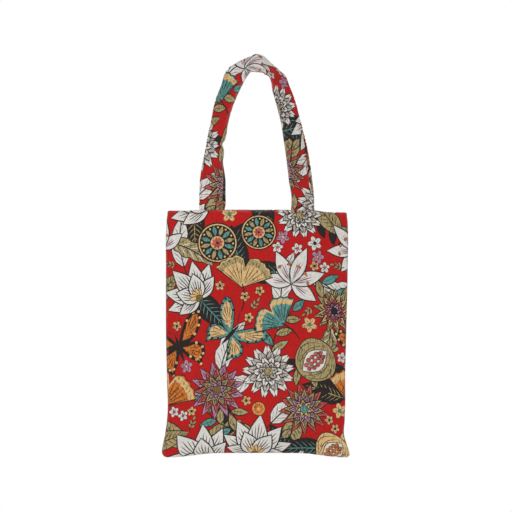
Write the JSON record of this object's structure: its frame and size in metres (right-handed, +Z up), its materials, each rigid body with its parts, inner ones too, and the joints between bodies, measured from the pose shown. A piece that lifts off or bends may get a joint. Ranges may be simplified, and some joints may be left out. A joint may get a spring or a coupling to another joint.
{
  "type": "tote bag",
  "caption": "Flat upright tote bag of woven patterned cloth with a lined open mouth and paired short strap handles for carrying or hanging on a hook.",
  "frame": {"origin": "top of the clear loop under both handles, on the bag's middle line, where a hook or a hand holds it", "axes": "+X to the right seen from the front, +Y from the front panel to the back panel, +Z up"},
  "size_m": [0.2996, 0.0646, 0.6512],
  "materials": {
    "printed_cloth": "matte jacquard weave",
    "plain_lining": "matte plain weave",
    "interlining": "matte felt",
    "sewing_thread": "satin twisted thread"
  },
  "bodies": {
    "bag": {"back_panel": "printed_cloth", "back_facing": "printed_cloth", "back_lining": "plain_lining", "back_mouth_topstitch": "sewing_thread", "back_facing_stitch": "sewing_thread", "back_left_handle_end": "printed_cloth", "back_left_box_stitch": "sewing_thread", "back_right_handle_end": "printed_cloth", "back_right_box_stitch": "sewing_thread", "left_side_seam": "printed_cloth", "right_side_seam": "printed_cloth", "bottom_seam": "printed_cloth"},
    "front": {"front_panel": "printed_cloth", "front_facing": "printed_cloth", "front_lining": "plain_lining", "front_mouth_topstitch": "sewing_thread", "front_facing_stitch": "sewing_thread", "front_left_handle_end": "printed_cloth", "front_left_box_stitch": "sewing_thread", "front_right_handle_end": "printed_cloth", "front_right_box_stitch": "sewing_thread"},
    "front_handle": {"front_handle_wrap": "printed_cloth", "front_handle_interlining": "interlining", "front_handle_inner_stitch": "sewing_thread", "front_handle_outer_stitch": "sewing_thread"},
    "back_handle": {"back_handle_wrap": "printed_cloth", "back_handle_interlining": "interlining", "back_handle_inner_stitch": "sewing_thread", "back_handle_outer_stitch": "sewing_thread"}
  },
  "joints": [
    {"name": "mouth_open", "type": "hinge", "parent": "bag", "child": "front", "pos_m": [0, -0.00135, -0.62157], "axis": [1, 0, 0], "range_deg": [0, 5], "stiffness_Nm_per_rad": 0.6, "springref_deg": -8.59},
    {"name": "front_handle_swing", "type": "hinge", "parent": "front", "child": "front_handle", "pos_m": [0, -0.028, -0.22057], "axis": [1, 0, 0], "range_deg": [0, 175]},
    {"name": "back_handle_swing", "type": "hinge", "parent": "bag", "child": "back_handle", "pos_m": [0, 0.028, -0.22057], "axis": [-1, 0, 0], "range_deg": [0, 175]}
  ]
}
